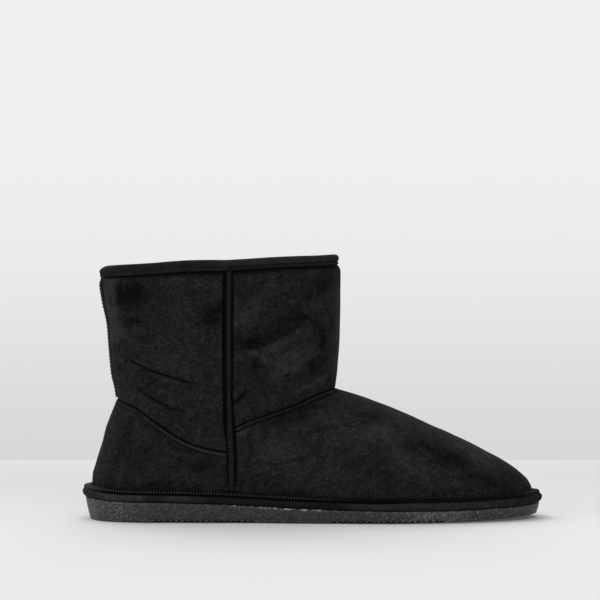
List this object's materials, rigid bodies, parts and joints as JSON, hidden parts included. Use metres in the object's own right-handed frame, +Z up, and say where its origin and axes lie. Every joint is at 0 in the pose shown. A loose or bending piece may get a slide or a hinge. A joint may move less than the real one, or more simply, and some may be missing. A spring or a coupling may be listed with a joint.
{
  "type": "bootie slipper",
  "caption": "Ankle-high pull-on slipper with a soft hollow upper, a bound collar, corded seams and a low flat rubber sole.",
  "frame": {"origin": "centre of the bounding box in X and Y, on the floor under the flat of the sole", "axes": "+X from heel to toe, +Y to the wearer's left (the inner side of this right shoe), +Z up"},
  "size_m": [0.2744, 0.1024, 0.1576],
  "materials": {
    "suede": "brushed black faux suede with a soft patchy nap",
    "binding": "black ribbed binding cloth, padded at the foot",
    "cord": "black braided seam cord with stitched edges",
    "rubber": "dark grey grained rubber with a cross-grooved tread",
    "fleece": "short charcoal fleece"
  },
  "bodies": {
    "root": {"outsole": "rubber", "foot_binding": "binding", "upper": "suede", "insole": "fleece", "collar_binding": "binding", "side_cord_outer": "cord", "side_cord_inner": "cord", "back_cord": "cord"}
  },
  "joints": []
}
